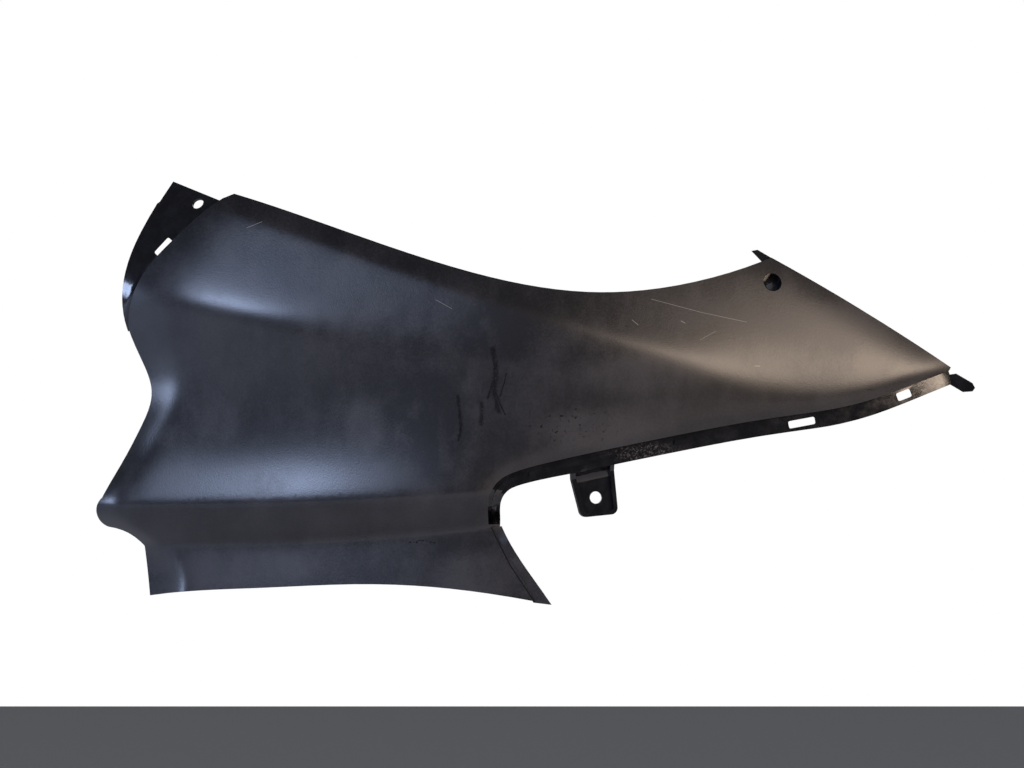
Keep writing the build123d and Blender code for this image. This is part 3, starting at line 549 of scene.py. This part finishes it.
def white_paper():
    """Matt white paper that is plain white to the camera, in reflections and through clear things."""
    material, tree = new_material("white_paper")
    path = node(tree, "ShaderNodeLightPath").outputs
    seen = strongest(tree, [path["Is Camera Ray"], path["Is Glossy Ray"], path["Is Transmission Ray"]])
    paper = node(tree, "ShaderNodeBsdfDiffuse", inputs={"Color": colour(BACKDROP_PAPER)})
    glow = node(tree, "ShaderNodeEmission", inputs={"Color": (1, 1, 1, 1), "Strength": 1.0})
    mix = node(tree, "ShaderNodeMixShader", [(seen, "Fac"), (paper.outputs[0], 1), (glow.outputs[0], 2)])
    node(tree, "ShaderNodeOutputMaterial", [(mix.outputs[0], "Surface")])
    return material


def add_lamp(name, stand, target, power, tint):
    """A soft rectangular lamp with the stand's place and size, turned to look at the target."""
    place, size = stand
    lamp = bpy.data.lights.new(name, "AREA")
    lamp.shape = "RECTANGLE"
    lamp.size, lamp.size_y = size
    lamp.energy = power
    lamp.color = tint
    holder = bpy.data.objects.new(name, lamp)
    holder.location = place
    holder.rotation_euler = (Vector(target) - Vector(place)).to_track_quat("-Z", "Y").to_euler()
    bpy.context.scene.collection.objects.link(holder)


class SidePanelFinish(bpy.types.PropertyGroup):
    skin_roughness: bpy.props.FloatProperty(
        name="Skin roughness", description="How far the etched skin spreads its highlights",
        default=0.36, min=0.0, max=1.0, subtype="FACTOR")
    ledge_roughness: bpy.props.FloatProperty(
        name="Ledge roughness", description="How far the smooth rail, flange and tab spread theirs",
        default=0.15, min=0.0, max=1.0, subtype="FACTOR")
    longest_edge: bpy.props.FloatProperty(
        name="Longest edge", description="Edges of the skin's mesh that are longer than this are halved",
        default=5 * MM, min=1 * MM, unit="LENGTH", subtype="DISTANCE")


class StudioSettings(bpy.types.PropertyGroup):
    camera_distance: bpy.props.FloatProperty(
        name="Camera distance", description="How far in front of the lower tab the camera stands",
        default=8.0, min=1.0, unit="LENGTH", subtype="DISTANCE")
    left_power: bpy.props.FloatProperty(
        name="Left lamp", description="Power of the cool lamp in front, above and to the left",
        default=26.0, min=0.0, unit="POWER")
    low_power: bpy.props.FloatProperty(
        name="Low left lamp", description="Power of the cool lamp beside the panel's front edge",
        default=14.0, min=0.0, unit="POWER")
    right_power: bpy.props.FloatProperty(
        name="Right lamp", description="Power of the warm lamp in front, above and to the right",
        default=30.0, min=0.0, unit="POWER")
    left_colour: bpy.props.FloatVectorProperty(
        name="Left colour", description="Colour of the two lamps on the left",
        default=colour("#c3d6ff")[:3], size=3, subtype="COLOR")
    right_colour: bpy.props.FloatVectorProperty(
        name="Right colour", description="Colour of the lamp on the right",
        default=colour("#ffe6cf")[:3], size=3, subtype="COLOR")


class SIDEPANEL_OT_skin(bpy.types.Operator):
    """Makes the panel's finer mesh from the CAD solid and gives it its two finishes"""
    bl_idname = "side_panel.skin"
    bl_label = "Panel"

    def execute(self, context):
        finish = context.scene.side_panel_finish
        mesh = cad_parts["side_panel"].data.copy()
        mesh.name = "panel"
        # The CAD mesh's own normals would hold on to its coarse facets
        mesh.attributes.remove(mesh.attributes["custom_normal"])
        mesh.materials.clear()
        mesh.materials.append(satin_black_abs(finish))
        mesh.materials.append(smooth_black_abs(finish))
        refine_skin(mesh, finish.longest_edge)
        settle_skin(mesh)
        panel = bpy.data.objects.new("panel", mesh)
        context.scene.collection.objects.link(panel)
        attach(panel, "root")
        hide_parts("side_panel")
        return {"FINISHED"}


class SIDEPANEL_OT_studio(bpy.types.Operator):
    """Sets up the floor, the white backdrop, the three lamps, and the camera square to the panel"""
    bl_idname = "side_panel.studio"
    bl_label = "Studio"

    def execute(self, context):
        studio = context.scene.side_panel_studio
        across = (STUDIO_WIDTH, 0, 0)
        floor = flat_sheet("floor", across, (0, BACKDROP_DISTANCE - FLOOR_FRONT, 0),
                           (-STUDIO_WIDTH / 2, FLOOR_FRONT, FLOOR_HEIGHT), pale_paper())
        wall = flat_sheet("backdrop", across, (0, 0, BACKDROP_HEIGHT),
                          (-STUDIO_WIDTH / 2, BACKDROP_DISTANCE, BACKDROP_FOOT), white_paper())
        middle = side_view((PHOTO_WIDTH / 2, PHOTO_HEIGHT / 2))
        add_lamp("left_lamp", LEFT_LAMP, middle, studio.left_power, studio.left_colour)
        add_lamp("right_lamp", RIGHT_LAMP, middle, studio.right_power, studio.right_colour)
        add_lamp("low_left_lamp", LOW_LEFT_LAMP, middle, studio.low_power, studio.left_colour)
        world = bpy.data.worlds.new("studio_air")
        world.use_nodes = True
        air = world.node_tree.nodes["Background"].inputs
        air["Color"].default_value = colour(AIR)
        air["Strength"].default_value = AIR_STRENGTH
        context.scene.world = world
        lens = bpy.data.cameras.new("camera")
        lens.sensor_width = SENSOR_MM
        lens.lens = lens.sensor_width * studio.camera_distance / (PHOTO_WIDTH * MM_PER_PIXEL * MM)
        lens.clip_end = FARTHEST_SEEN
        camera = bpy.data.objects.new("camera", lens)
        camera.location = (middle[0], -studio.camera_distance, middle[2])
        camera.rotation_euler = (math.radians(90), 0, 0)
        context.scene.collection.objects.link(camera)
        context.scene.camera = camera
        context.scene.view_settings.view_transform = "Standard"
        return {"FINISHED"}


OPERATORS = (SIDEPANEL_OT_skin, SIDEPANEL_OT_studio)


class SIDEPANEL_PT_tools(bpy.types.Panel):
    """Lists the steps that dress the side panel"""
    bl_label = "Side panel"
    bl_idname = "SIDEPANEL_PT_tools"
    bl_space_type = "VIEW_3D"
    bl_region_type = "UI"
    bl_category = "Side panel"

    def draw(self, context):
        for group in (context.scene.side_panel_finish, context.scene.side_panel_studio):
            for name in group.bl_rna.properties.keys():
                if name not in ("rna_type", "name"):
                    self.layout.prop(group, name)
        for operator in OPERATORS:
            self.layout.operator(operator.bl_idname)


CLASSES = (SidePanelFinish, StudioSettings) + OPERATORS + (SIDEPANEL_PT_tools,)


def register():
    for cls in CLASSES:
        bpy.utils.register_class(cls)
    bpy.types.Scene.side_panel_finish = bpy.props.PointerProperty(type=SidePanelFinish)
    bpy.types.Scene.side_panel_studio = bpy.props.PointerProperty(type=StudioSettings)


def unregister():
    del bpy.types.Scene.side_panel_finish
    del bpy.types.Scene.side_panel_studio
    for cls in reversed(CLASSES):
        bpy.utils.unregister_class(cls)


def main():
    register()
    bpy.ops.side_panel.skin()
    bpy.ops.side_panel.studio()


if __name__ == "__main__":
    main()
